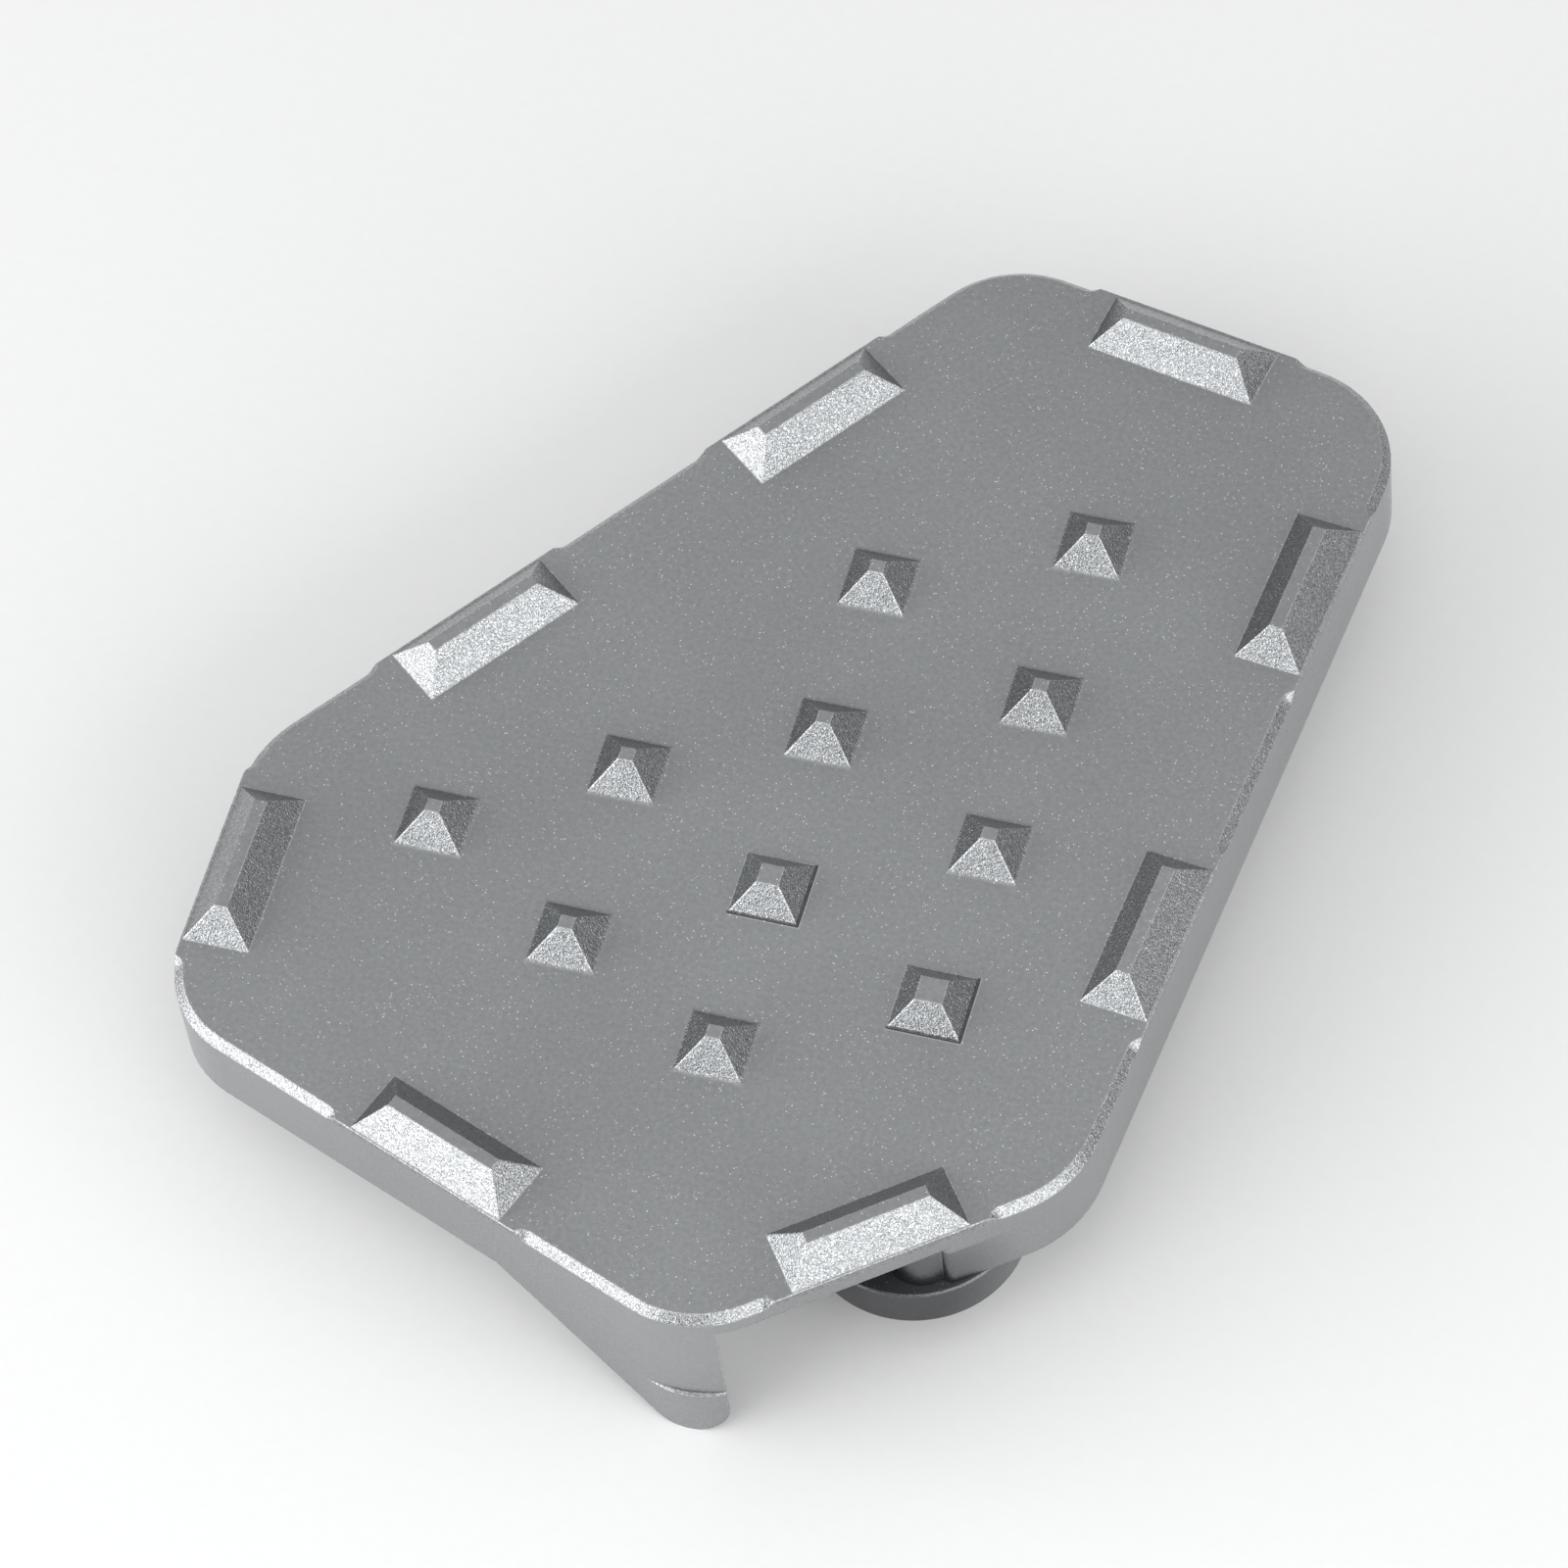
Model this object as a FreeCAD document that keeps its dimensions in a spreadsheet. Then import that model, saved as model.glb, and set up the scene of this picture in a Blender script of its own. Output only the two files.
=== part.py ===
import FreeCAD, Part
import math
import os

import Sketcher
from FreeCAD import Placement, Rotation, Vector

# Brake pedal extension: a milled aluminium tread plate that sits over the foot end of a
# brake lever, and a countersunk clamp disc whose screw pulls the lever's pad into the plate.
#
# Frame: +Z is the normal of the tread. The origin is the middle of the pocket floor, the
# face that rests on the lever's own pad. +X points to the right, +Y away from the rider's
# heel. All lengths are millimetres and all angles degrees.

SIZES = {
    # plate and rim
    "plate_thickness": 1.9,
    "rim_depth": 5.0,
    "rim_wall": 3.0,
    "edge_chamfer": 0.65,
    "cutter_tip_radius": 0.45,
    # the six edges: direction of the outward normal, and distance from the origin
    "left_angle": 180.0,
    "left_distance": 37.15,
    "front_angle": 249.4,
    "front_distance": 41.75,
    "gate_angle": 307.75,
    "gate_distance": 41.7,
    "right_angle": 353.8,
    "right_distance": 33.35,
    "back_angle": 439.5,
    "back_distance": 46.9,
    "slope_angle": 502.75,
    "slope_distance": 24.9,
    # corner radii, each named by the edge before it
    "left_corner": 7.95,
    "front_corner": 8.35,
    "gate_corner": 9.4,
    "right_corner": 8.7,
    "back_corner": 8.05,
    "slope_corner": 9.6,
    # cleats along the edges
    "raised_height": 2.15,
    "cleat_width": 5.0,
    "cleat_length": 13.25,
    "cleat_top_width": 0.95,
    "cleat_ledge": 0.17,
    "cleat_shelf": 1.4,
    # pyramid studs inside the ring of cleats
    "stud_width": 5.0,
    "stud_top_width": 1.05,
    "low_stud_width": 5.1,
    "low_stud_top_width": 1.65,
    "low_stud_height": 1.95,
    "flat_stud_width": 5.25,
    "flat_stud_top_width": 2.0,
    "flat_stud_height": 1.8,
    "foot_radius": 0.5,
    # opening in the gate edge's rim: how far it begins inside the corner before that edge, and
    # how much rim is left between it and the corner after
    "gate_into_corner": 2.15,
    "gate_wall_left": 6.3,
    "wall_end_radius": 0.9,
    # hook-shaped lip at the corner between the front and gate edges
    "lip_run": 12.6,
    "lip_drop": 8.6,
    "lip_slope": 31.0,
    "lip_heel_radius": 4.5,
    "lip_toe_radius": 2.8,
    "lip_step": 3.55,
    "lip_step_inset": 0.1,
    "lip_corner": 6.3,
    # screw boss: its middle lies beyond the gate, its front a little inside the gate edge
    "boss_past_gate": 0.7,
    "boss_setback": 0.5,
    "boss_width": 7.55,
    "boss_length": 14.25,
    "boss_corner": 2.55,
    # clamp disc and its countersunk screw, whose axis lies inside the gate edge
    "disc_inset": 7.6,
    "disc_radius": 8.05,
    "disc_thickness": 3.65,
    "disc_edge": 0.12,
    "screw_radius": 2.45,
    "screw_length": 8.0,
    "screw_tip": 0.5,
    "head_radius": 4.6,
    "head_rim": 0.35,
    "socket_radius": 1.75,
    "socket_depth": 1.9,
    "thread_play": 0.05,
    "disc_play": 0.25,
    "head_play": 0.05,
    "tap_cover": 1.7,
    # how far a cut, or metal that a later cut takes off, runs past the finished face
    "cut_margin": 1.0,
}

EDGES = ["left", "front", "gate", "right", "back", "slope"]
TOUCHING = 0.01
SMALLEST_STRETCH = 0.001
QUARTER_TURN = 90
HEXAGON = 6

# Each cleat: its name, its edge, and its middle measured along that edge.
CLEATS = {
    "slope_high": ("slope", 9.85),
    "slope_low": ("slope", -20.1),
    "back": ("back", -11.8),
    "right_high": ("right", 25.65),
    "right_low": ("right", -5.2),
    "gate": ("gate", -8.45),
    "front": ("front", 0.45),
    "left": ("left", 18.2),
}

# Each stud: its column and row, then its centre.
STUDS = {
    "right_first": (17.8, 22.85),
    "right_second": (17.55, 8.9),
    "right_third": (17.3, -4.15),
    "middle_first": (3.3, 16.15),
    "middle_second": (3.15, 2.65),
    "middle_fourth": (2.85, -24.45),
    "left_second": (-9.85, -3.65),
    "left_third": (-9.95, -18.25),
    "outer_second": (-22.15, -11.1),
}
LOW_STUD = (3.0, -10.95)
FLAT_STUD = (16.7, -17.4)

doc = FreeCAD.newDocument("brake_pedal_extension")
sheet = doc.addObject("Spreadsheet::Sheet", "Sizes")


def set_cells(cells):
    row = set_cells.next_row
    for alias, number in cells.items():
        sheet.set(f"A{row}", alias)
        sheet.set(f"B{row}", str(number))
        sheet.setAlias(f"B{row}", alias)
        row += 1
    set_cells.next_row = row
    doc.recompute()


set_cells.next_row = 1
set_cells(SIZES)
set_cells({f"cleat_{name}_along": along for name, (edge, along) in CLEATS.items()})
for stud, (stud_x, stud_y) in STUDS.items():
    set_cells({f"stud_{stud}_x": stud_x, f"stud_{stud}_y": stud_y})
set_cells({"low_stud_x": LOW_STUD[0], "low_stud_y": LOW_STUD[1]})
set_cells({"flat_stud_x": FLAT_STUD[0], "flat_stud_y": FLAT_STUD[1]})


def cell(name):
    return f"Sizes.{name}"


def value(expression):
    """The number that an expression on the sheet's cells gives now."""
    result = sheet.evalExpression(str(expression))
    return float(getattr(result, "Value", result))


def make_body(label):
    body = doc.addObject("PartDesign::Body", label)
    body.Label = label
    return body


def make_sketch(body, name, role="XY_Plane", lift=0, axis=Vector(0, 0, 1), turn=0):
    """A sketch on one of the body's own planes, lifted along its normal and turned about an axis."""
    sketch = body.newObject("Sketcher::SketchObject", name)
    plane = next(item for item in body.Origin.OriginFeatures if item.Role == role)
    sketch.AttachmentSupport = [(plane, "")]
    sketch.MapMode = "FlatFace"
    sketch.AttachmentOffset = Placement(Vector(0, 0, value(lift)), Rotation(axis, value(turn)))
    if lift:
        sketch.setExpression("AttachmentOffset.Base.z", str(lift))
    if turn:
        sketch.setExpression("AttachmentOffset.Rotation.Angle", str(turn))
    return sketch


def bind(sketch, kind, where, size, name, is_angle=False):
    """Adds a constraint that takes its size from the sheet."""
    start = math.radians(value(size)) if is_angle else abs(value(size))
    index = sketch.addConstraint(Sketcher.Constraint(kind, *where, start))
    sketch.renameConstraint(index, name)
    rule = f"{size}" if is_angle else f"abs({size})"
    sketch.setExpression(f"Constraints.{name}", rule)


def side_vectors(angle):
    outward = Vector(math.cos(math.radians(angle)), math.sin(math.radians(angle)), 0)
    along = Vector(-outward.y, outward.x, 0)
    return outward, along


def meeting_point(first, second, first_distance, second_distance):
    """Where two lines meet, each given by its normal's angle and its distance from the origin."""
    a, _ = side_vectors(first)
    b, _ = side_vectors(second)
    cross = a.x * b.y - a.y * b.x
    x = (first_distance * b.y - second_distance * a.y) / cross
    y = (second_distance * a.x - first_distance * b.x) / cross
    return Vector(x, y, 0)


def add_loop(sketch, tag, sides, corners):
    """A closed run of straight sides. A side is the angle of its outward normal and its distance
    from the sketch's origin; a corner is a radius, or None where it is sharp."""
    count = len(sides)
    angles = [value(angle) for angle, _ in sides]
    distances = [value(distance) for _, distance in sides]
    starts, ends, arcs = [None] * count, [None] * count, [None] * count
    for index in range(count):
        after = (index + 1) % count
        radius = value(corners[index]) if corners[index] is not None else 0.0
        turn = math.sin(math.radians(angles[after] - angles[index]))
        inset = math.copysign(radius, turn)
        centre = meeting_point(
            angles[index], angles[after], distances[index] - inset, distances[after] - inset
        )
        ends[index] = centre + side_vectors(angles[index])[0] * inset
        starts[after] = centre + side_vectors(angles[after])[0] * inset
        arcs[index] = (centre, radius, turn > 0)
    lines = []
    for index in range(count):
        lines.append(sketch.addGeometry(Part.LineSegment(starts[index], ends[index])))
    for index in range(count):
        after = (index + 1) % count
        centre, radius, left_turn = arcs[index]
        if corners[index] is None:
            joint = Sketcher.Constraint("Coincident", lines[index], 2, lines[after], 1)
            sketch.addConstraint(joint)
            continue
        first, second = (ends[index], starts[after]) if left_turn else (starts[after], ends[index])
        from_angle = math.atan2(first.y - centre.y, first.x - centre.x)
        to_angle = math.atan2(second.y - centre.y, second.x - centre.x)
        circle = Part.Circle(centre, Vector(0, 0, 1), radius)
        arc = sketch.addGeometry(Part.ArcOfCircle(circle, from_angle, to_angle))
        near, far = (1, 2) if left_turn else (2, 1)
        sketch.addConstraint(Sketcher.Constraint("Tangent", lines[index], 2, arc, near))
        sketch.addConstraint(Sketcher.Constraint("Tangent", arc, far, lines[after], 1))
        bind(sketch, "Radius", (arc,), corners[index], f"{tag}_corner_{index}")
    for index, (angle, distance) in enumerate(sides):
        bind(sketch, "Angle", (lines[index],), f"({angle} + 90)", f"{tag}_angle_{index}", True)
        bind(sketch, "Distance", (-1, 1, lines[index]), distance, f"{tag}_distance_{index}")


def add_rectangle(sketch, tag, x, y, width, height, corner=None):
    """A rectangle about the point (x, y) of the sketch."""
    sides = [
        ("0", f"({x} + {width} / 2)"),
        ("90", f"({y} + {height} / 2)"),
        ("180", f"({width} / 2 - ({x}))"),
        ("270", f"({height} / 2 - ({y}))"),
    ]
    add_loop(sketch, tag, sides, [corner] * 4)


def add_circle(sketch, tag, x, y, radius):
    """A circle about the point (x, y) of the sketch."""
    centre = Vector(value(x), value(y), 0)
    ring = sketch.addGeometry(Part.Circle(centre, Vector(0, 0, 1), value(radius)))
    bind(sketch, "Radius", (ring,), radius, f"{tag}_radius")
    for kind, size in (("DistanceX", x), ("DistanceY", y)):
        where = (-1, 1, ring, 3) if value(size) >= 0 else (ring, 3, -1, 1)
        bind(sketch, kind, where, size, f"{tag}_{kind}")


def outline_sides(inset="0"):
    return [(cell(f"{edge}_angle"), f"({cell(edge + '_distance')} - {inset})") for edge in EDGES]


def outline_corners(inset="0"):
    return [f"({cell(edge + '_corner')} - {inset})" for edge in EDGES]


def solid_volume(body):
    return body.Tip.Shape.Volume if body.Tip and not body.Tip.Shape.isNull() else 0.0


def add_feature(body, kind, name, sketch, length, upward=True, taper=None):
    """A pad or pocket of a sketch, along its normal or against it, with a test that it added or
    removed metal."""
    before = solid_volume(body)
    feature = body.newObject(f"PartDesign::{kind}", name)
    feature.Profile = sketch
    feature.Reversed = upward if kind == "Pocket" else not upward
    feature.Refine = True
    if length is None:
        feature.Type = "ThroughAll"
    else:
        feature.setExpression("Length", length)
    if taper is not None:
        feature.setExpression("TaperAngle", taper)
    doc.recompute()
    after = feature.Shape.Volume
    if (after > before) != (kind == "Pad") or abs(after - before) < TOUCHING:
        raise RuntimeError(f"{name} changed the solid from {before:.2f} to {after:.2f}")
    return feature


def round_edges(body, name, radius, chooser):
    """Rounds the edges of the body's tip that the chooser picks."""
    base = body.Tip
    names = [f"Edge{i + 1}" for i, edge in enumerate(base.Shape.Edges) if chooser(edge)]
    if not names:
        raise RuntimeError(f"{name} found no edge")
    fillet = body.newObject("PartDesign::Fillet", name)
    fillet.Base = (base, names)
    fillet.setExpression("Radius", radius)
    doc.recompute()
    return fillet


def edge_point(edge_name, along, outward):
    """A point given by its place along an edge of the plate and its distance from the origin."""
    out_vector, along_vector = side_vectors(value(cell(f"{edge_name}_angle")))
    return along_vector * along + out_vector * outward


def corner_end(edge):
    """Place along an edge where the corner before it ends and its straight run begins."""
    before = EDGES[EDGES.index(edge) - 1]
    turn = f"({cell(edge + '_angle')} - {cell(before + '_angle')})"
    ahead = f"({cell(edge + '_distance')} - {cell(before + '_corner')})"
    behind = f"({cell(before + '_distance')} - {cell(before + '_corner')})"
    return f"(({ahead} * cos({turn}) - {behind}) / sin({turn}))"


def corner_start(edge):
    """Place along an edge where its straight run ends and the corner after it begins."""
    after = EDGES[(EDGES.index(edge) + 1) % len(EDGES)]
    turn = f"({cell(after + '_angle')} - {cell(edge + '_angle')})"
    ahead = f"({cell(after + '_distance')} - {cell(edge + '_corner')})"
    behind = f"({cell(edge + '_distance')} - {cell(edge + '_corner')})"
    return f"(({ahead} - {behind} * cos({turn})) / sin({turn}))"


def gate_start():
    """Place along the gate edge where its opening begins, a little inside the corner."""
    return f"({corner_end('gate')} - {cell('gate_into_corner')})"


def gate_end():
    """Place along the gate edge where its opening ends and the rim goes on."""
    return f"({corner_start('gate')} - {cell('gate_wall_left')})"


def lip_start():
    """Place along the front edge where the lip begins to grow out of the rim."""
    return f"({corner_start('front')} - {cell('lip_run')})"


def lip_tail():
    """Spare length of the lip's blank at each end, which later cuts take off."""
    return f"({cell('gate_into_corner')} + {cell('cut_margin')})"


def boss_along():
    """Place of the boss and the clamp screw along the gate edge."""
    return f"({gate_end()} + {cell('boss_past_gate')})"


def disc_outward():
    """Distance of the clamp screw from the origin, square to the gate edge."""
    return f"({cell('gate_distance')} - {cell('disc_inset')})"


def flank_angle(width, top_width, height):
    """Taper of a raised block whose sides run from its foot to its top."""
    return f"-atan(({cell(width)} - {cell(top_width)}) / 2 / {cell(height)})"


def add_plate_and_rim(body):
    plate = make_sketch(body, "PlateOutline")
    add_loop(plate, "plate", outline_sides(), outline_corners())
    add_feature(body, "Pad", "Plate", plate, cell("plate_thickness"))
    rim = make_sketch(body, "RimOutline")
    add_loop(rim, "rim", outline_sides(), outline_corners())
    wall = cell("rim_wall")
    add_loop(rim, "pocket", outline_sides(wall), outline_corners(wall))
    add_feature(body, "Pad", "Rim", rim, cell("rim_depth"), upward=False)


def add_lip(body):
    """The rim runs on downward round the corner between the front and gate edges. Its lower part
    has a tighter corner, which stands proud of the upper one in a thin crescent."""
    wall, tail = cell("rim_wall"), lip_tail()
    stages = [
        ("LipUpper", cell("front_corner"), "0", f"-{cell('rim_depth')}", cell("lip_step")),
        (
            "LipLower",
            cell("lip_corner"),
            cell("lip_step_inset"),
            f"-{cell('rim_depth')} - {cell('lip_step')}",
            f"{cell('lip_drop')} - {cell('lip_step')} + {cell('cut_margin')}",
        ),
    ]
    front, gate = cell("front_angle"), cell("gate_angle")
    for name, radius, inset, level, depth in stages:
        sketch = make_sketch(body, f"{name}Outline", lift=level)
        sides = [
            (front, cell("front_distance")),
            (gate, f"({cell('gate_distance')} - {inset})"),
            (f"({gate} + 90)", f"({gate_start()} + {tail})"),
            (f"({gate} + 180)", f"({wall} - {cell('gate_distance')})"),
            (f"({front} + 180)", f"({wall} - {cell('front_distance')})"),
            (f"({front} - 90)", f"({tail} - {lip_start()})"),
        ]
        inner_radius = f"({cell('front_corner')} - {wall})"
        add_loop(sketch, name, sides, [radius, None, None, inner_radius, None, None])
        add_feature(body, "Pad", name, sketch, depth, upward=False)


def trim_lip(body):
    """Seen from the front the lip's lower edge slopes down from the rim, then runs level."""
    sketch = make_sketch(
        body, "LipProfile", role="XZ_Plane", axis=Vector(0, 1, 0), turn=f"{cell('front_angle')} + 90"
    )
    start, drop, rim, margin = lip_start(), cell("lip_drop"), cell("rim_depth"), cell("cut_margin")
    beyond = f"({start} + {cell('lip_run')} + 2 * {cell('front_corner')} + {margin})"
    slope_normal = f"(90 - {cell('lip_slope')})"
    slope_distance = f"({start} * cos({slope_normal}) - {rim} * sin({slope_normal}))"
    sides = [
        ("270", f"({rim} + {drop} + 2 * {margin})"),
        ("0", beyond),
        ("90", f"(-{rim} - {drop})"),
        (slope_normal, slope_distance),
        ("90", f"(-{rim})"),
        ("180", f"({lip_tail()} + {margin} - {start})"),
    ]
    corners = [None, None, cell("lip_heel_radius"), None, None, None]
    add_loop(sketch, "profile", sides, corners)
    add_feature(body, "Pocket", "LipTrim", sketch, None)


def cut_gate(body):
    """The opening through the gate edge's rim, from the pocket outward and downward."""
    sketch = make_sketch(body, "GateOutline", turn=cell("gate_angle"))
    width = f"({gate_end()} - {gate_start()})"
    middle = f"(({gate_end()} + {gate_start()}) / 2)"
    across = f"(2 * ({cell('rim_wall')} + {cell('cut_margin')}))"
    add_rectangle(sketch, "gate", cell("gate_distance"), middle, across, width)
    add_feature(body, "Pocket", "Gate", sketch, None, upward=False)


def add_boss(body):
    sketch = make_sketch(body, "BossOutline", turn=cell("gate_angle"))
    length, width = cell("boss_length"), cell("boss_width")
    outward = f"({cell('gate_distance')} - {cell('boss_setback')} - {length} / 2)"
    add_rectangle(sketch, "boss", outward, boss_along(), length, width, cell("boss_corner"))
    add_feature(body, "Pad", "Boss", sketch, cell("rim_depth"), upward=False)


def drill_boss(body):
    """The tapped hole for the clamp screw, blind under the tread."""
    level = f"-{cell('rim_depth')}"
    sketch = make_sketch(body, "TapOutline", lift=level, turn=cell("gate_angle"))
    add_circle(sketch, "tap", disc_outward(), boss_along(), tap_radius())
    depth = f"{cell('rim_depth')} + {cell('plate_thickness')} - {cell('tap_cover')}"
    add_feature(body, "Pocket", "TappedHole", sketch, depth)


def break_wall_end(body):
    """Rounds the upright outer edge where the rim ends beside the boss."""
    outward, along = side_vectors(value(cell("gate_angle")))
    end = value(gate_end())

    def is_upright_at_end(edge):
        first, last = edge.Vertexes[0].Point, edge.Vertexes[-1].Point
        upright = math.hypot(first.x - last.x, first.y - last.y) < TOUCHING
        return upright and first.z + last.z < 0 and abs(first.dot(along) - end) < TOUCHING

    edges = filter(is_upright_at_end, body.Tip.Shape.Edges)
    outermost = max((edge.CenterOfMass.dot(outward) for edge in edges), default=0.0)

    def is_outer_corner(edge):
        return is_upright_at_end(edge) and edge.CenterOfMass.dot(outward) > outermost - TOUCHING

    round_edges(body, "WallEnd", cell("wall_end_radius"), is_outer_corner)


def round_lip_toe(body):
    """Rounds the lip's lower corner beside the gate, seen square to the gate edge."""
    sketch = make_sketch(
        body, "ToeProfile", role="XZ_Plane", axis=Vector(0, 1, 0), turn=f"{cell('gate_angle')} + 90"
    )
    start, radius, margin = gate_start(), cell("lip_toe_radius"), cell("cut_margin")
    bottom = f"(-{cell('rim_depth')} - {cell('lip_drop')})"
    sides = [
        ("270", f"({margin} - {bottom})"),
        ("0", f"({start} + {margin})"),
        ("90", f"({bottom} + {radius} + {margin})"),
        ("180", f"(-{start})"),
        ("90", bottom),
        ("180", f"({radius} + {margin} - {start})"),
    ]
    add_loop(sketch, "toe", sides, [None, None, None, radius, None, None])
    add_feature(body, "Pocket", "LipToe", sketch, None)


def add_cleats(body):
    """A row of ridge-topped cleats, each just inside the plate's edge and lying along it."""
    for name, (edge, _) in CLEATS.items():
        sketch = make_sketch(
            body, f"Cleat_{name}_Foot", lift=cell("plate_thickness"), turn=cell(f"{edge}_angle")
        )
        outward = f"({cell(edge + '_distance')} - {cell('cleat_ledge')} - {cell('cleat_width')} / 2)"
        along = cell(f"cleat_{name}_along")
        add_rectangle(sketch, "foot", outward, along, cell("cleat_width"), cell("cleat_length"))
        taper = flank_angle("cleat_width", "cleat_top_width", "raised_height")
        add_feature(body, "Pad", f"Cleat_{name}", sketch, cell("raised_height"), taper=taper)


def add_studs(body):
    """Pointed studs between the cleats: nine alike, one low and one broad and flat."""
    tread_level = cell("plate_thickness")
    sketch = make_sketch(body, "StudFeet", lift=tread_level)
    for name in STUDS:
        x, y = cell(f"stud_{name}_x"), cell(f"stud_{name}_y")
        add_rectangle(sketch, name, x, y, cell("stud_width"), cell("stud_width"))
    taper = flank_angle("stud_width", "stud_top_width", "raised_height")
    add_feature(body, "Pad", "Studs", sketch, cell("raised_height"), taper=taper)
    for name in ("low", "flat"):
        sketch = make_sketch(body, f"{name.title()}StudFoot", lift=tread_level)
        width, height = cell(f"{name}_stud_width"), cell(f"{name}_stud_height")
        add_rectangle(sketch, "foot", cell(f"{name}_stud_x"), cell(f"{name}_stud_y"), width, width)
        taper = flank_angle(f"{name}_stud_width", f"{name}_stud_top_width", f"{name}_stud_height")
        add_feature(body, "Pad", f"{name.title()}Stud", sketch, height, taper=taper)


def round_stud_feet(body):
    """Rounds the nine equal studs into the tread. The low and the flat stud keep a sharp foot."""
    level, half_width = value(cell("plate_thickness")), value(cell("stud_width")) / 2
    centres = [Vector(x, y, level) for x, y in STUDS.values()]

    def is_stud_foot(edge):
        if any(abs(vertex.Z - level) > TOUCHING for vertex in edge.Vertexes):
            return False
        middle = edge.CenterOfMass
        return any(abs((middle - centre).Length - half_width) < TOUCHING for centre in centres)

    round_edges(body, "StudFeetRounding", cell("foot_radius"), is_stud_foot)


def corner_after(edge):
    """The plate's corner that follows an edge: its centre, its radius and the edge beyond it."""
    after = EDGES[(EDGES.index(edge) + 1) % len(EDGES)]
    radius = value(cell(f"{edge}_corner"))
    angles = [value(cell(f"{name}_angle")) for name in (edge, after)]
    reaches = [value(cell(f"{name}_distance")) - radius for name in (edge, after)]
    return meeting_point(*angles, *reaches), radius, after


def outline_stretches():
    """The plate's outline as straight and curved stretches, in turn. Each is its edge, whether
    it is the corner after that edge, where it starts, and its length."""
    stretches = []
    for index, edge in enumerate(EDGES):
        before_centre, _, _ = corner_after(EDGES[index - 1])
        centre, radius, after = corner_after(edge)
        _, forward = side_vectors(value(cell(f"{edge}_angle")))
        start = before_centre.dot(forward)
        stretches.append((edge, False, start, centre.dot(forward) - start))
        first, last = value(cell(f"{edge}_angle")), value(cell(f"{after}_angle"))
        stretches.append((edge, True, first, math.radians((last - first) % 360) * radius))
    return stretches


def outline_point(stretch, distance, offset):
    """The point so far along a stretch, moved outward by the offset, and the normal there."""
    edge, is_corner, start, _ = stretch
    if not is_corner:
        angle, reach = value(cell(f"{edge}_angle")), value(cell(f"{edge}_distance"))
        return edge_point(edge, start + distance, reach + offset), side_vectors(angle)[0]
    centre, radius, _ = corner_after(edge)
    normal, _ = side_vectors(start + math.degrees(distance / radius))
    return centre + normal * (radius + offset), normal


def cleat_place(name, stretches):
    """How far round the outline a cleat's middle lies."""
    edge, _ = CLEATS[name]
    travelled = 0.0
    for stretch in stretches:
        if stretch[0] == edge and not stretch[1]:
            return travelled + value(cell(f"cleat_{name}_along")) - stretch[2]
        travelled += stretch[3]


def cutter_path(first, last, stretches):
    """Centre line of the chamfer cutter between two places on the outline, just outside it."""
    tip = value(cell("cutter_tip_radius"))
    pieces, ends, travelled = [], [], 0.0
    for stretch in stretches * 2:
        low, high = max(first - travelled, 0.0), min(last - travelled, stretch[3])
        travelled += stretch[3]
        if high - low < SMALLEST_STRETCH:
            continue
        marks = [outline_point(stretch, place, tip) for place in (low, (low + high) / 2, high)]
        points = [point for point, _ in marks]
        curve = Part.Arc(*points) if stretch[1] else Part.LineSegment(points[0], points[2])
        pieces.append(curve.toShape())
        ends += [marks[0], marks[2]]
    return Part.Wire(pieces), ends[0], ends[-1]


def cutter_section(centre, inward):
    """Half of the 45 degree cutter, from its axis toward the plate."""
    tip, depth = value(cell("cutter_tip_radius")), value(cell("edge_chamfer"))
    top = value(cell("plate_thickness"))
    overrun = depth / 2
    profile = [
        (0, top - depth),
        (tip, top - depth),
        (tip + depth + overrun, top + overrun),
        (0, top + overrun),
    ]
    points = [centre + inward * reach + Vector(0, 0, level) for reach, level in profile]
    return Part.Face(Part.makePolygon(points + points[:1]))


def edge_cutter(first, last, stretches):
    """The space swept by the chamfer cutter between two cleats. The cutter leaves a piece of a
    cone in the metal where it is lifted out, so the chamfer ends in a curved run-out."""
    path, (start, start_normal), (end, end_normal) = cutter_path(first, last, stretches)
    section = cutter_section(start, -start_normal)
    swept = path.makePipeShell([section.OuterWire], True, False)
    start_cap = section.revolve(start, Vector(0, 0, 1), QUARTER_TURN)
    end_section = cutter_section(end, Vector(-end_normal.y, end_normal.x, 0))
    end_cap = end_section.revolve(end, Vector(0, 0, 1), QUARTER_TURN)
    return swept.fuse([start_cap, end_cap])


def cut_chamfers(blank):
    """Chamfers the top edge between each cleat and the next one round the plate."""
    stretches = outline_stretches()
    places = sorted(cleat_place(name, stretches) for name in CLEATS)
    places.append(places[0] + sum(stretch[3] for stretch in stretches))
    tip, depth = value(cell("cutter_tip_radius")), value(cell("edge_chamfer"))
    run_out = math.sqrt((tip + depth) ** 2 - tip**2)
    reach = value(f"{cell('cleat_length')} / 2 + {cell('cleat_shelf')}") + run_out
    pairs = zip(places, places[1:])
    tools = [edge_cutter(here + reach, after - reach, stretches) for here, after in pairs]
    swept = doc.addObject("Part::Feature", "ChamferCutterPaths")
    swept.Shape = Part.makeCompound(tools)
    plate = doc.addObject("Part::Cut", "tread_plate")
    plate.Base, plate.Tool = blank, swept
    plate.Label = "tread_plate"
    doc.recompute()
    return plate


def tap_radius():
    return f"({cell('screw_radius')} + {cell('thread_play')})"


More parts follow.
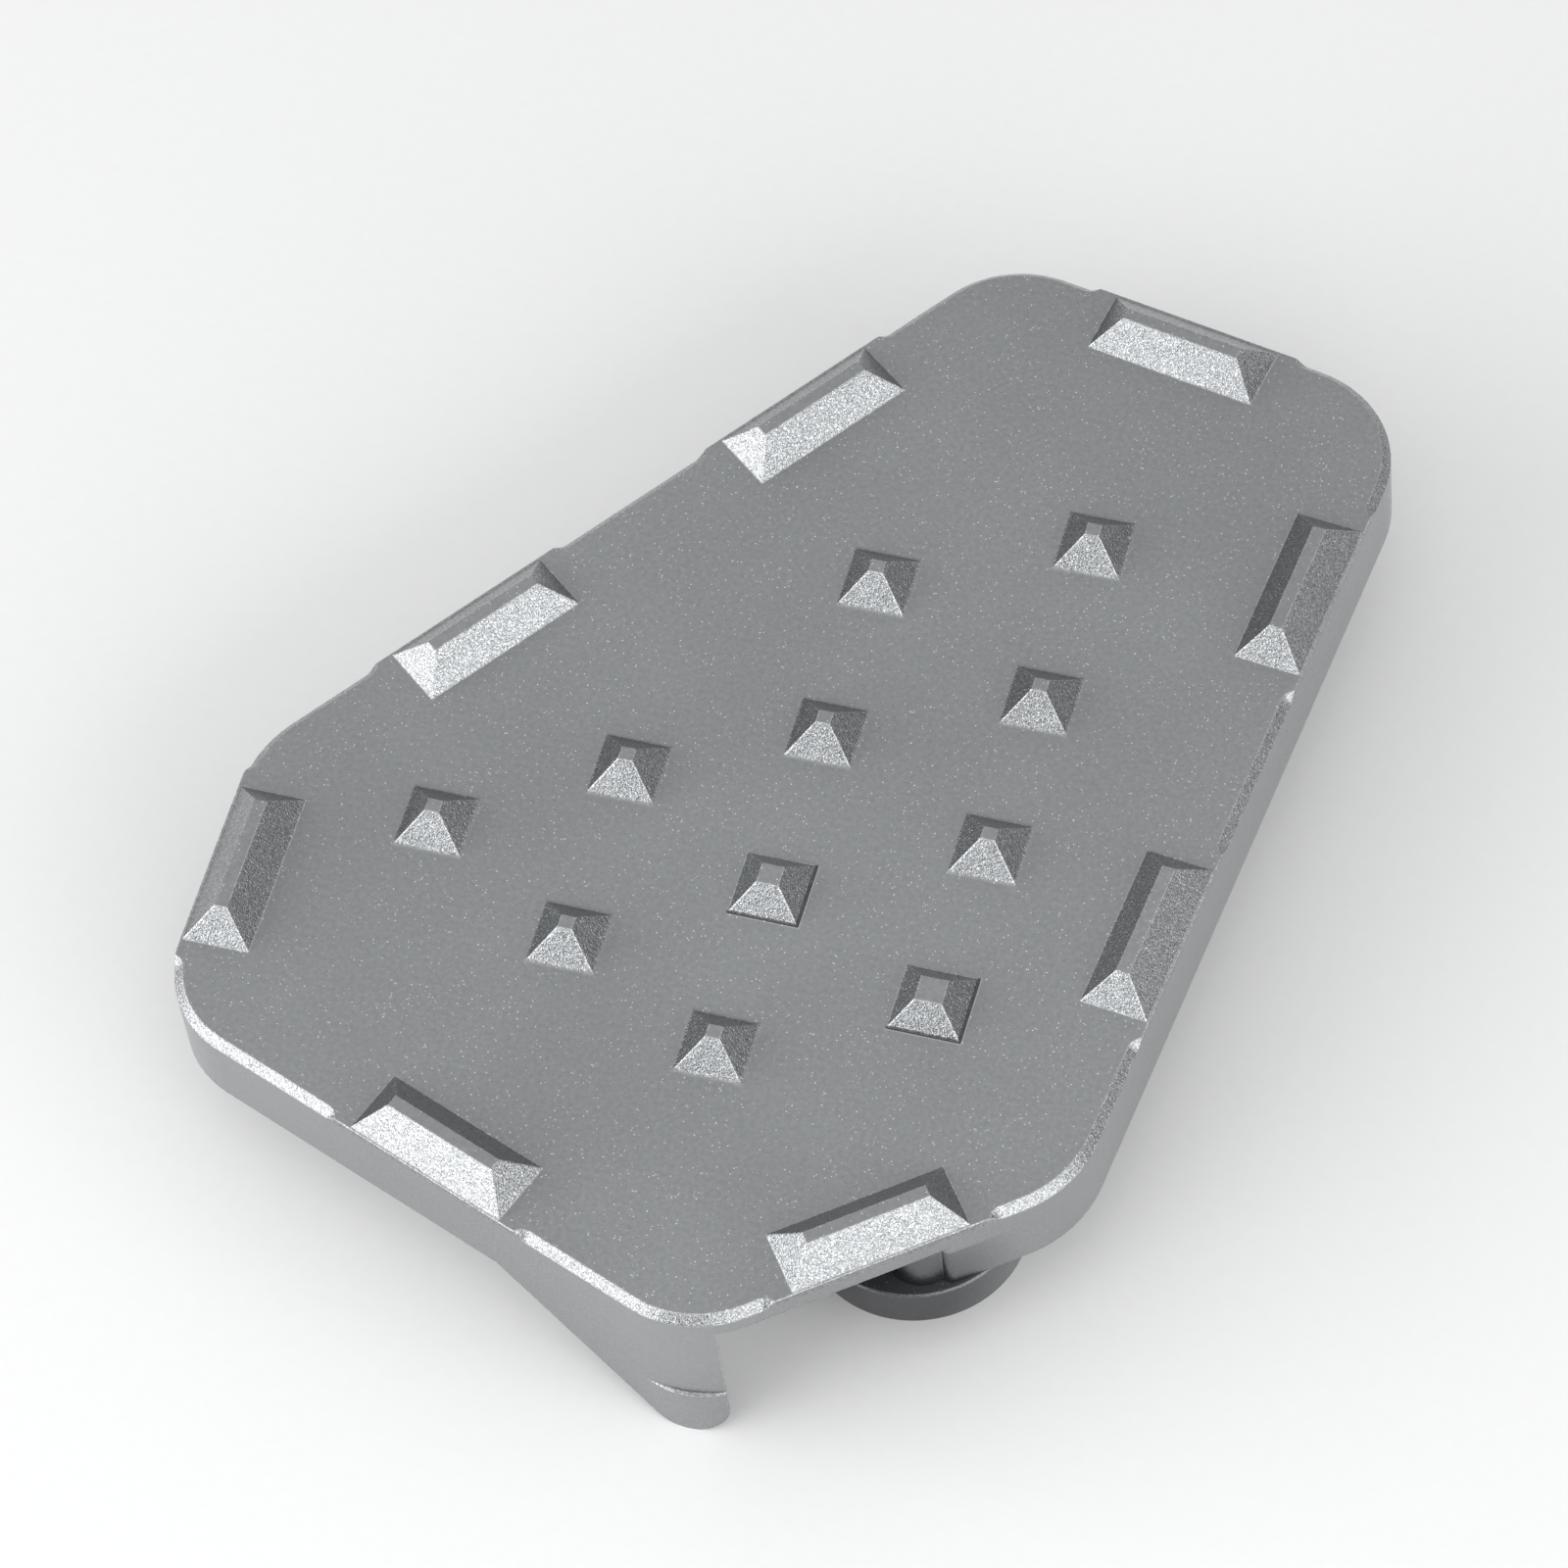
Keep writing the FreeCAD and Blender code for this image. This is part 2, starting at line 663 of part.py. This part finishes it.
def add_half_profile(sketch, points):
    """A closed outline of straight lines, points given as expressions (radius, height)."""
    corners = [Vector(value(radius), value(height), 0) for radius, height in points]
    lines = []
    for first, second in zip(corners, corners[1:] + corners[:1]):
        lines.append(sketch.addGeometry(Part.LineSegment(first, second)))
    for index, line in enumerate(lines):
        following = lines[(index + 1) % len(lines)]
        sketch.addConstraint(Sketcher.Constraint("Coincident", line, 2, following, 1))
    for index, (radius, height) in enumerate(points):
        place(sketch, lines[index], radius, height, f"point_{index}")


def place(sketch, line, x, y, name):
    """Fixes a line's start at a distance from each of the sketch's axes."""
    for kind, size in (("DistanceX", x), ("DistanceY", y)):
        number = value(size)
        where = (-1, 1, line, 1) if number >= 0 else (line, 1, -1, 1)
        if abs(number) < SMALLEST_STRETCH:
            axis = -2 if kind == "DistanceX" else -1
            sketch.addConstraint(Sketcher.Constraint("PointOnObject", line, 1, axis))
            continue
        bind(sketch, kind, where, size, f"{name}_{kind}")


def spin_body(label, points):
    """A turned piece: the half profile spun about the body's Z axis."""
    body = make_body(label)
    doc.recompute()
    sketch = make_sketch(body, f"{label}_profile", role="XZ_Plane")
    add_half_profile(sketch, points)
    turned = body.newObject("PartDesign::Revolution", f"{label}_turned")
    turned.Profile = sketch
    turned.ReferenceAxis = (sketch, ["V_Axis"])
    turned.Angle = 360
    doc.recompute()
    return body


def seat_below_boss(body):
    """Moves a turned piece from its own axis to the boss, its top at the boss's face."""
    seat = edge_point("gate", value(boss_along()), value(disc_outward()))
    turn = Rotation(Vector(0, 0, 1), value(cell("gate_angle")))
    body.Placement = Placement(Vector(seat.x, seat.y, -value(cell("rim_depth"))), turn)
    gate = cell("gate_angle")
    along, out = boss_along(), disc_outward()
    body.setExpression("Placement.Base.x", f"{out} * cos({gate}) - {along} * sin({gate})")
    body.setExpression("Placement.Base.y", f"{out} * sin({gate}) + {along} * cos({gate})")
    body.setExpression("Placement.Base.z", f"-{cell('rim_depth')}")


def head_height():
    """The countersunk head narrows at 45 degrees from its rim to the shank."""
    return f"({cell('head_radius')} - {cell('screw_radius')} + {cell('head_rim')})"


def make_disc():
    radius, thick, edge = cell("disc_radius"), cell("disc_thickness"), cell("disc_edge")
    bore = f"({cell('screw_radius')} + {cell('disc_play')})"
    mouth = f"({cell('head_radius')} + {cell('head_play')})"
    lead = f"({cell('head_radius')} + {cell('head_play')} - {cell('screw_radius')} - {cell('disc_play')})"
    points = [
        (bore, "0"),
        (bore, f"({cell('head_rim')} + {lead} - {thick})"),
        (mouth, f"({cell('head_rim')} - {thick})"),
        (mouth, f"(-{thick})"),
        (f"({radius} - {edge})", f"(-{thick})"),
        (radius, f"({edge} - {thick})"),
        (radius, f"(-{edge})"),
        (f"({radius} - {edge})", "0"),
    ]
    disc = spin_body("clamp_disc", points)
    seat_below_boss(disc)
    return disc


def make_screw():
    thick, shank, head = cell("disc_thickness"), cell("screw_radius"), cell("head_radius")
    length, tip = cell("screw_length"), cell("screw_tip")
    points = [
        ("0", f"({length} - {thick})"),
        ("0", f"(-{thick})"),
        (head, f"(-{thick})"),
        (head, f"({cell('head_rim')} - {thick})"),
        (shank, f"({head_height()} - {thick})"),
        (shank, f"({length} - {thick} - {tip})"),
        (f"({shank} - {tip})", f"({length} - {thick})"),
    ]
    screw = spin_body("clamp_screw", points)
    socket = make_sketch(screw, "SocketOutline", lift=f"-{thick}")
    sides = [(str(360 / HEXAGON * side), cell("socket_radius")) for side in range(HEXAGON)]
    add_loop(socket, "socket", sides, [None] * HEXAGON)
    add_feature(screw, "Pocket", "Socket", socket, cell("socket_depth"))
    seat_below_boss(screw)
    return screw


def check_and_write(pieces):
    """Every object has to be up to date and every piece one valid solid."""
    doc.recompute()
    for item in doc.Objects:
        if "Invalid" in item.State or "Error" in item.State:
            raise RuntimeError(f"{item.Name} failed: {item.State}")
    os.makedirs("parts", exist_ok=True)
    for piece in pieces:
        shape = piece.Shape
        if shape.isNull() or not shape.isValid() or len(shape.Solids) != 1:
            raise RuntimeError(f"{piece.Label} is not one valid solid")
        print(f"{piece.Label}: {shape.Volume:.1f} mm3, {shape.BoundBox}")
        shape.exportStep(f"parts/{piece.Label}.step")


doc.recompute()
blank = make_body("tread_blank")
add_plate_and_rim(blank)
add_lip(blank)
trim_lip(blank)
cut_gate(blank)
break_wall_end(blank)
round_lip_toe(blank)
add_boss(blank)
drill_boss(blank)
add_studs(blank)
round_stud_feet(blank)
add_cleats(blank)
check_and_write([cut_chamfers(blank), make_disc(), make_screw()])
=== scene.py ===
import math

import bpy
from mathutils import Euler, Matrix, Vector


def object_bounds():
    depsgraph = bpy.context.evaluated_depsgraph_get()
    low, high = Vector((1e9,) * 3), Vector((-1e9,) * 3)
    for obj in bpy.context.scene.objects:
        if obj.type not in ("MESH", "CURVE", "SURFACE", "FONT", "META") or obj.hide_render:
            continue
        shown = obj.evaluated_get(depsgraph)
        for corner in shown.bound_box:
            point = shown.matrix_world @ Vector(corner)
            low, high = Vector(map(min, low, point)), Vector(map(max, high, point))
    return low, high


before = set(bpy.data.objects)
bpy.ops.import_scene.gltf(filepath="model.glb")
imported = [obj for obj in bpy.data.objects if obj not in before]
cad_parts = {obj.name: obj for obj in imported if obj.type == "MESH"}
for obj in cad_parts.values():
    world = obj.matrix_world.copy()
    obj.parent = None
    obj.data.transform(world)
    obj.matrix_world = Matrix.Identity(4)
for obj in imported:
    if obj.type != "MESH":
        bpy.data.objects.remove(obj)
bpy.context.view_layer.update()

MM = 0.001

# Node of the part: material name, colour, roughness, depth of grain and of crinkle, share of wear and painted
# highlight on the edges
LOOKS = {
    "tread_plate": ("anodised_plate_look", (0.342, 0.352, 0.359), 0.27, 0.004 * MM, 0.06 * MM, 0.8),
    "clamp_disc": ("anodised_disc_look", (0.22, 0.225, 0.232), 0.30, 0.004 * MM, 0.02 * MM, 0.9),
    "clamp_screw": ("screw_steel_look", (0.36, 0.36, 0.365), 0.26, 0.002 * MM, 0.0, 0.5),
}

# The camera stands at the photograph's viewing angle
CAMERA_PLACE = (0.116345, -0.274033, 0.459069)      # m
CAMERA_TURN = (32.585077, 4.358773, 16.151446)      # degrees
CAMERA_LENS = 173.8034                              # mm
CAMERA_SENSOR = 36.0                                # mm
CAMERA_NEAR, CAMERA_FAR = 0.01, 20.0                # m

# Soft boxes: name, azimuth from +X, elevation, distance, width, height, radiance
LIGHTS = (
    ("front_left_box", -147.0, 20.0, 0.60, 0.80, 0.38, 3.6),
    ("front_right_box", -36.0, 27.0, 0.60, 0.68, 0.36, 2.8),
    ("top_box", -67.0, 72.0, 0.90, 0.60, 0.60, 0.8),
)

# The studio air: dark at the horizon, most of all on the left, paler overhead
HORIZON_LEFT = (0.13, 0.135, 0.15, 1.0)
HORIZON_RIGHT = (0.31, 0.31, 0.31, 1.0)
SKY = (0.72, 0.725, 0.73, 1.0)
ZENITH = (0.60, 0.605, 0.61, 1.0)
HORIZON_SIDES = (-0.9, 0.9)         # share of the way along X
SKY_RISE = (0.0, 0.65)              # share of the way along Z
ZENITH_RISE = (0.88, 1.0)

FLOOR_HALF_SIZE = 3.0               # m
FLOOR_ROUGHNESS = 0.85
FLOOR_FIBRES = (900.0, 3.0)         # noise scale and detail
FLOOR_DARK = (0.76, 0.76, 0.76, 1.0)
FLOOR_PALE = (0.79, 0.79, 0.79, 1.0)

# Noises in the object's own space: scale per metre, detail, roughness, distortion
FINE_NOISE = (6500.0, 3.0, 0.6)
COARSE_NOISE = (6600.0, 1.5, 0.5, 0.9)
MOTTLE_NOISE = (2600.0, 3.0, 0.6)
CLOUD_NOISE = (45.0, 4.0, 0.55)

# Painted glints: bright specks scattered over the blasted metal's colour
SPECK_SCALE = 7500.0
SPECK_CHANCE = (0.93, 0.995)
SPECK_EDGE = (0.50, 0.20)
GLINT_PAINT_SHARE = 0.9
GLINT_PAINT_COLOUR = (0.95, 0.96, 0.98, 1.0)

# Sloped faces above the tread's edge are cut more coarsely
FLANK_SLOPE = (0.985, 0.90)         # size of the normal's Z
RAISED_LEVEL = (1.2 * MM, 1.3 * MM)
# Painted shade in the crinkle's low spots and painted highlight on its high spots: noise from, noise to, tone
# from, tone to
CRINKLE_PAINTED_SHADE_AND_HIGHLIGHT = (0.36, 0.64, -0.27, 0.27)

# Machined walls are smoother: these shares of the mottle and of the painted glints are missing there
MACHINED_EVENNESS = 0.6
MACHINED_GLINTS_LOST = 0.75

# Edges are softened for the light, and worn bright with a painted highlight in the metal's colour
EDGE_RADIUS = 0.19 * MM
EDGE_SAMPLES = 6
EDGE_TURN = (0.995, 0.90)           # cosine between the true and the softened normal
EDGE_PATCHES = (0.35, 0.6)
WEAR_AND_HIGHLIGHT_COLOUR = (0.86, 0.87, 0.89, 1.0)

# Tones of the metal's colour: noise from, noise to, tone from, tone to
CLOUD_TONE = (0.3, 0.7, 0.96, 1.04)
MOTTLE_TONE = (0.25, 0.75, -0.08, 0.08)

# Roughness is the base value plus these shares
DULL_SPREAD = (0.2, 0.8)            # range of the fine noise
DULL_LESS, DULL_MORE = 0.04, 0.05
WORN_SHINE = 0.05
CLOUD_DULL = 0.03
FLAT_DULL = 0.33

# The low and the flat stud get painted shade along a groove line at the front and right feet, and a painted
# highlight on a lip line just outside
GROOVED_STUDS = (((16.7, -17.4), 2.625), ((3.0, -10.95), 2.55))     # mm: centre and half width
GROOVE = (-0.08, 0.16)              # mm out from the foot
GROOVE_LIP = (0.16, 0.26)           # mm out from the foot
GROOVE_SOFTNESS = 0.03 * MM
GROOVE_REACH = 0.2                  # mm past the stud's corner
# Painted shade: the share by which the groove line darkens the colour; painted highlight: the share by which
# the lip line brightens it
GROOVE_PAINTED_SHADE = 0.72
LIP_PAINTED_HIGHLIGHT = 0.35
GROOVE_LEVEL = (2.2 * MM, 2.0 * MM)

# Painted shade: the metal's colour is darkened in the corner round the boss, under the tread, where shade
# falls
RECESS_CENTRE = (17.2 * MM, -34.4 * MM, -5.0 * MM)
RECESS_PAINTED_SHADE = (5.0 * MM, 11.0 * MM, 0.55, 0.0)
RECESS_LEVEL = (-0.6 * MM, -0.9 * MM)


class Weave:
    """Adds shader nodes to one tree and joins them up."""

    def __init__(self, tree):
        self.tree = tree

    def feed(self, socket, value):
        if isinstance(value, bpy.types.NodeSocket):
            self.tree.links.new(value, socket)
        else:
            socket.default_value = value

    def node(self, kind, settings=None, **inputs):
        made = self.tree.nodes.new(kind)
        for key, value in (settings or {}).items():
            setattr(made, key, value)
        for key, value in inputs.items():
            self.feed(made.inputs[key.replace("_", " ")], value)
        return made

    def calc(self, operation, first, second=0.0, clamp=False):
        made = self.node("ShaderNodeMath", {"operation": operation, "use_clamp": clamp})
        self.feed(made.inputs[0], first)
        self.feed(made.inputs[1], second)
        return made.outputs[0]

    def times(self, first, second):
        return self.calc("MULTIPLY", first, second)

    def less(self, mask, share):
        """1 where the mask is 0, and less by a share where it is 1."""
        return self.calc("SUBTRACT", 1.0, self.times(mask, share))

    def vector_calc(self, operation, first, second):
        made = self.node("ShaderNodeVectorMath", {"operation": operation})
        self.feed(made.inputs[0], first)
        self.feed(made.inputs[1], second)
        return made.outputs["Value"]

    def parts_of(self, vector):
        return self.node("ShaderNodeSeparateXYZ", Vector=vector).outputs

    def span(self, value, low, high, to_low=0.0, to_high=1.0, smooth=True):
        """Maps low..high of a value to to_low..to_high and holds the ends."""
        made = self.node("ShaderNodeMapRange", {"interpolation_type": "SMOOTHSTEP" if smooth else "LINEAR"})
        self.feed(made.inputs["Value"], value)
        for key, number in (("From Min", low), ("From Max", high), ("To Min", to_low), ("To Max", to_high)):
            self.feed(made.inputs[key], number)
        return made.outputs[0]

    def noise(self, place, scale, detail, roughness=0.55, distortion=0.0):
        made = self.node("ShaderNodeTexNoise", Vector=place, Scale=scale, Detail=detail,
                         Roughness=roughness, Distortion=distortion)
        return made.outputs["Fac"]

    def mix_colour(self, share, first, second):
        made = self.node("ShaderNodeMix", {"data_type": "RGBA"}, Factor=share)
        colours = [socket for socket in made.inputs if socket.type == "RGBA"]
        self.feed(colours[0], first)
        self.feed(colours[1], second)
        return next(socket for socket in made.outputs if socket.type == "RGBA")


def new_material(name):
    material = bpy.data.materials.new(name)
    material.use_nodes = True
    material.node_tree.nodes.clear()
    return material, Weave(material.node_tree)


def finish_material(w, shader):
    out = w.node("ShaderNodeOutputMaterial", Surface=shader.outputs["BSDF"])
    out.is_active_output = True


def foot_line(w, place, centre, half_width, inner, outer):
    """A mask along the front and right feet of a square stud: 1 between two distances (mm) out from them."""
    spot = w.parts_of(place)
    rightward = w.calc("SUBTRACT", spot["X"], centre[0] * MM)
    forward = w.calc("SUBTRACT", centre[1] * MM, spot["Y"])
    out = w.calc("SUBTRACT", w.calc("MAXIMUM", rightward, forward), half_width * MM)
    rise = w.span(out, inner * MM - GROOVE_SOFTNESS, inner * MM + GROOVE_SOFTNESS)
    fall = w.span(out, outer * MM - GROOVE_SOFTNESS, outer * MM + GROOVE_SOFTNESS, 1.0, 0.0)
    reach = w.span(w.calc("MINIMUM", rightward, forward), -(half_width + GROOVE_REACH) * MM, -half_width * MM)
    return w.times(w.times(rise, fall), reach)


def groove_painted_shade_and_highlight(w, place, on_top):
    """One tone per grooved stud: painted shade in its groove, painted highlight on the lip outside, 1
    elsewhere.
    """
    for centre, half_width in GROOVED_STUDS:
        shade_line = foot_line(w, place, centre, half_width, *GROOVE)
        highlight_line = foot_line(w, place, centre, half_width, *GROOVE_LIP)
        change = w.calc("SUBTRACT", w.times(highlight_line, LIP_PAINTED_HIGHLIGHT), w.times(shade_line, GROOVE_PAINTED_SHADE))
        yield w.calc("ADD", w.times(change, on_top), 1.0)


# Painted shade: darkens the colour near RECESS_CENTRE, on faces lower than RECESS_LEVEL
def painted_recess_shade(w, place, level):
    painted_shade = w.span(w.vector_calc("DISTANCE", place, RECESS_CENTRE), *RECESS_PAINTED_SHADE)
    return w.less(w.span(level, *RECESS_LEVEL), painted_shade)


# Mask of the painted glints: small specks at random
def painted_glints(w, place):
    specks = w.node("ShaderNodeTexVoronoi", Vector=place, Scale=SPECK_SCALE).outputs
    chance = w.parts_of(specks["Color"])["X"]
    return w.times(w.span(chance, *SPECK_CHANCE), w.span(specks["Distance"], *SPECK_EDGE))


# Mask of worn edges, also used for a painted highlight along every edge
def edge_wear_and_highlight_mask(w, softened, fine):
    true_normal = w.node("ShaderNodeNewGeometry").outputs["Normal"]
    edge = w.span(w.vector_calc("DOT_PRODUCT", softened, true_normal), *EDGE_TURN)
    return w.times(edge, w.span(fine, *EDGE_PATCHES))


def blasted_metal(name, colour, roughness, grain, crinkle, wear_and_highlight_share):
    """Bead-blasted metal: a fine grain with painted glints, a coarse crinkle on raised sloped faces with
    painted shade and highlight in its relief, edges worn and brightened by a painted highlight.
    """
    material, w = new_material(name)
    coords = w.node("ShaderNodeTexCoord").outputs
    place = coords["Object"]
    level = w.parts_of(place)["Z"]
    steepness = w.calc("ABSOLUTE", w.parts_of(coords["Normal"])["Z"])
    flank = w.span(steepness, *FLANK_SLOPE)
    raised = w.span(level, *RAISED_LEVEL)
    rough_cut = w.times(flank, raised)
    machined = w.times(flank, w.less(raised, 1.0))

    fine = w.noise(place, *FINE_NOISE)
    coarse = w.noise(place, *COARSE_NOISE)
    mottle = w.noise(place, *MOTTLE_NOISE)
    cloud = w.noise(place, *CLOUD_NOISE)

    softened = w.node("ShaderNodeBevel", {"samples": EDGE_SAMPLES}, Radius=EDGE_RADIUS).outputs["Normal"]
    grained = w.node("ShaderNodeBump", Strength=1.0, Distance=grain, Height=fine, Normal=softened)
    crinkled = w.node("ShaderNodeBump", Strength=rough_cut, Distance=crinkle, Height=coarse,
                      Normal=grained.outputs["Normal"])
    wear_and_highlight = edge_wear_and_highlight_mask(w, softened, fine)

    uneven = w.times(w.span(mottle, *MOTTLE_TONE), w.less(machined, MACHINED_EVENNESS))
    tone = w.times(w.span(cloud, *CLOUD_TONE), w.calc("ADD", uneven, 1.0))
    # Painted shade and highlight that follow the crinkle's relief on raised sloped faces
    crinkle_shade_and_highlight = w.span(coarse, *CRINKLE_PAINTED_SHADE_AND_HIGHLIGHT, smooth=False)
    tone = w.times(tone, w.calc("ADD", w.times(crinkle_shade_and_highlight, rough_cut), 1.0))
    # Painted shade in the stud grooves and painted highlight on their lips
    for painted_groove_tone in groove_painted_shade_and_highlight(w, place, w.times(w.span(level, *GROOVE_LEVEL), raised)):
        tone = w.times(tone, painted_groove_tone)
    # Painted shade in the corner round the boss
    tone = w.times(tone, painted_recess_shade(w, place, level))

    # Edge wear and painted highlight: brighter colour along the edges
    metal = w.mix_colour(w.times(wear_and_highlight, wear_and_highlight_share), (*colour, 1.0), WEAR_AND_HIGHLIGHT_COLOUR)
    # Painted glints: small bright specks in the colour
    painted_glint_mask = w.times(painted_glints(w, place), w.less(machined, MACHINED_GLINTS_LOST))
    metal = w.mix_colour(w.times(painted_glint_mask, GLINT_PAINT_SHARE), metal, GLINT_PAINT_COLOUR)
    toned = w.node("ShaderNodeVectorMath", {"operation": "SCALE"}, Scale=tone)
    w.feed(toned.inputs[0], metal)

    dull = w.span(fine, *DULL_SPREAD, roughness - DULL_LESS, roughness + DULL_MORE, smooth=False)
    dull = w.calc("SUBTRACT", dull, w.times(w.calc("MAXIMUM", wear_and_highlight, rough_cut), WORN_SHINE))
    dull = w.calc("ADD", dull, w.times(w.span(cloud, *CLOUD_TONE[:2]), CLOUD_DULL))
    dull = w.calc("ADD", dull, w.times(w.less(flank, 1.0), FLAT_DULL), clamp=True)

    shader = w.node("ShaderNodeBsdfPrincipled", Metallic=1.0, Roughness=dull,
                    Base_Color=toned.outputs["Vector"], Normal=crinkled.outputs["Normal"])
    finish_material(w, shader)
    return material


def floor_card():
    material, w = new_material("floor_card")
    fibres = w.noise(w.node("ShaderNodeTexCoord").outputs["Object"], *FLOOR_FIBRES)
    shader = w.node("ShaderNodeBsdfPrincipled", Roughness=FLOOR_ROUGHNESS,
                    Base_Color=w.mix_colour(fibres, FLOOR_DARK, FLOOR_PALE))
    finish_material(w, shader)
    return material


def dress(node, material):
    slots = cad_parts[node].data.materials
    for index in range(len(slots)):
        slots[index] = material


def add_to_scene(name, data):
    thing = bpy.data.objects.new(name, data)
    bpy.context.scene.collection.objects.link(thing)
    return thing


def add_camera():
    data = bpy.data.cameras.new("photo_camera")
    data.lens = CAMERA_LENS
    data.sensor_width = CAMERA_SENSOR
    data.clip_start, data.clip_end = CAMERA_NEAR, CAMERA_FAR
    camera = add_to_scene("photo_camera", data)
    turn = Euler([math.radians(angle) for angle in CAMERA_TURN], "XYZ").to_matrix().to_4x4()
    camera.matrix_world = Matrix.Translation(CAMERA_PLACE) @ turn
    bpy.context.scene.camera = camera


def add_lights():
    for name, azimuth, elevation, distance, width, height, radiance in LIGHTS:
        data = bpy.data.lights.new(name, "AREA")
        data.shape = "RECTANGLE"
        data.size, data.size_y = width, height
        data.energy = radiance * math.pi * width * height
        lamp = add_to_scene(name, data)
        a, e = math.radians(azimuth), math.radians(elevation)
        way = Vector((math.cos(a) * math.cos(e), math.sin(a) * math.cos(e), math.sin(e)))
        lamp.location = way * distance
        lamp.rotation_euler = way.to_track_quat("Z", "Y").to_euler()


def add_air():
    air = bpy.data.worlds.new("studio_air")
    air.use_nodes = True
    w = Weave(air.node_tree)
    way = w.parts_of(w.node("ShaderNodeTexCoord").outputs["Generated"])
    horizon = w.mix_colour(w.span(way["X"], *HORIZON_SIDES), HORIZON_LEFT, HORIZON_RIGHT)
    sky = w.mix_colour(w.span(way["Z"], *ZENITH_RISE), SKY, ZENITH)
    light = air.node_tree.nodes["Background"].inputs["Color"]
    w.feed(light, w.mix_colour(w.span(way["Z"], *SKY_RISE), horizon, sky))
    bpy.context.scene.world = air


def add_floor():
    """A level card under the part's lowest point."""
    low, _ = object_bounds()
    mesh = bpy.data.meshes.new("studio_floor")
    sides = ((-1, -1), (1, -1), (1, 1), (-1, 1))
    corners = [(x * FLOOR_HALF_SIZE, y * FLOOR_HALF_SIZE, 0.0) for x, y in sides]
    mesh.from_pydata(corners, [], [(0, 1, 2, 3)])
    mesh.materials.append(floor_card())
    floor = add_to_scene("studio_floor", mesh)
    floor.location = (0.0, 0.0, low[2])


for node, look in LOOKS.items():
    dress(node, blasted_metal(*look))

add_camera()
add_lights()
add_air()
add_floor()
bpy.context.scene.view_settings.view_transform = "Standard"
bpy.context.scene.view_settings.look = "None"
